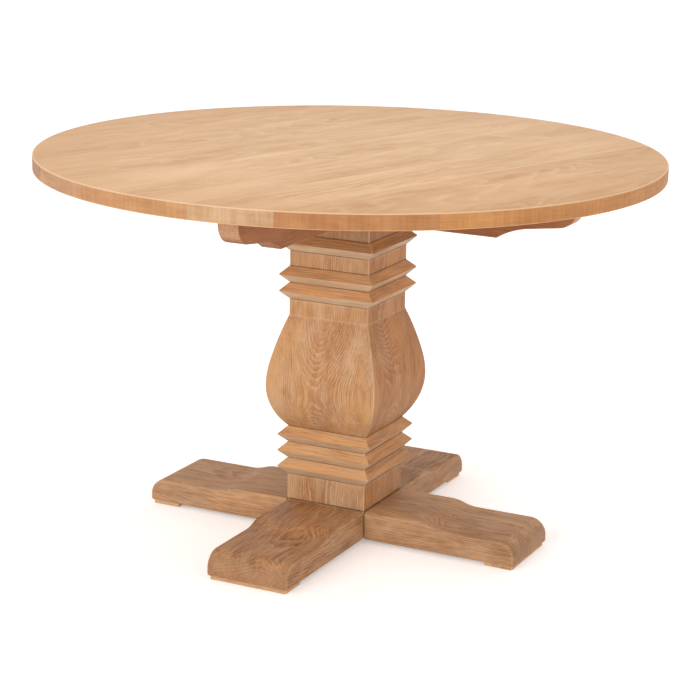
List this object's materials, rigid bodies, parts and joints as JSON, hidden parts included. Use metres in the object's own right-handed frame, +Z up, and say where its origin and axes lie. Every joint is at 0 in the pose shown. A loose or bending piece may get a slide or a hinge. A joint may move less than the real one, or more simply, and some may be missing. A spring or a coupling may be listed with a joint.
{
  "type": "round pedestal table",
  "caption": "Round wooden dining table on a square turned-look pedestal with crossed feet and crossed bearers under a glued-up plank top.",
  "frame": {"origin": "on the floor at the pedestal's axis, the centre of the bottom of the bounding box", "axes": "+Z up; -Y towards the front foot and +X towards the right foot"},
  "size_m": [1.2192, 1.2192, 0.762],
  "materials": {
    "top_wood": "pale limed oak-like planks, matt, lightly wire-brushed",
    "bearer_wood": "honey brown, matt",
    "pedestal_wood": "honey brown with limed grain, matt, wire-brushed",
    "block_wood": "bare sawn wood",
    "foot_wood": "honey brown sides, greyer limed tops, matt",
    "pad_wood": "matt",
    "steel": "zinc-plated",
    "brass": "turned"
  },
  "bodies": {
    "root": {"top_board_1": "top_wood", "top_board_2": "top_wood", "top_board_3": "top_wood", "top_board_4": "top_wood", "top_board_5": "top_wood", "top_board_6": "top_wood", "top_board_7": "top_wood", "top_board_8": "top_wood", "top_board_9": "top_wood", "bearer_front_back": "bearer_wood", "bearer_left_right": "bearer_wood", "pedestal_front": "pedestal_wood", "pedestal_right": "pedestal_wood", "pedestal_back": "pedestal_wood", "pedestal_left": "pedestal_wood", "pedestal_top_block": "block_wood", "pedestal_bottom_block": "block_wood", "foot_front_back": "foot_wood", "foot_left_right": "foot_wood", "foot_pad_front": "pad_wood", "foot_pad_right": "pad_wood", "foot_pad_back": "pad_wood", "foot_pad_left": "pad_wood", "top_screws": "steel", "top_screw_washers": "steel", "bearer_bolt": "steel", "bearer_bolt_washer": "steel", "bearer_insert": "brass", "base_bolts": "steel", "base_bolt_washers": "steel", "base_inserts": "brass", "pad_screws": "steel"}
  },
  "joints": []
}
